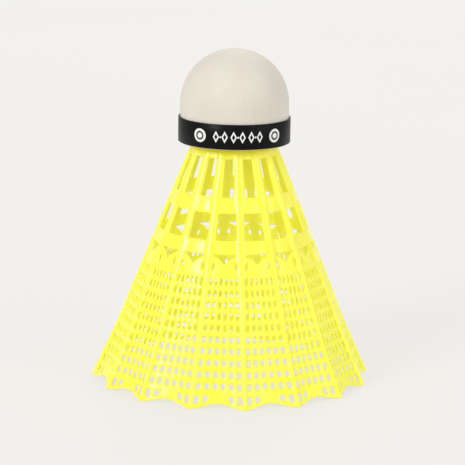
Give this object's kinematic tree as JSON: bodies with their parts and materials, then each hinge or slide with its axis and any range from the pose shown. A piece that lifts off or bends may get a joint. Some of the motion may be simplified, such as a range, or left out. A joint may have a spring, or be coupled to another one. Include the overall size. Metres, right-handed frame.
{
  "type": "badminton shuttlecock",
  "caption": "Synthetic badminton shuttlecock: open mesh skirt of moulded nylon with ribs, rings and scalloped rim, glued into a round covered cork head with a printed band.",
  "frame": {"origin": "on the shuttle's axis, in the plane of the rim tips that it stands on", "axes": "+Z along the axis from the rim towards the nose of the head; +X and +Y through rim tips"},
  "size_m": [0.068, 0.068, 0.08],
  "materials": {
    "nylon": "satin, slightly translucent fluorescent yellow nylon",
    "pressed_cork": "cut face of pressed cork granules",
    "natural_cork": "turned natural cork",
    "glue": "set glue film",
    "steel": "bright turned steel",
    "cover_skin": "matt cream artificial leather with a fine grain",
    "band_tape": "satin black tape with a plain white pattern"
  },
  "bodies": {
    "root": {"skirt": "nylon", "cork_base": "pressed_cork", "cork_dome": "natural_cork", "cork_glue": "glue", "stem_glue": "glue", "balance_slug": "steel", "head_cover": "cover_skin", "head_band": "band_tape"}
  },
  "joints": []
}
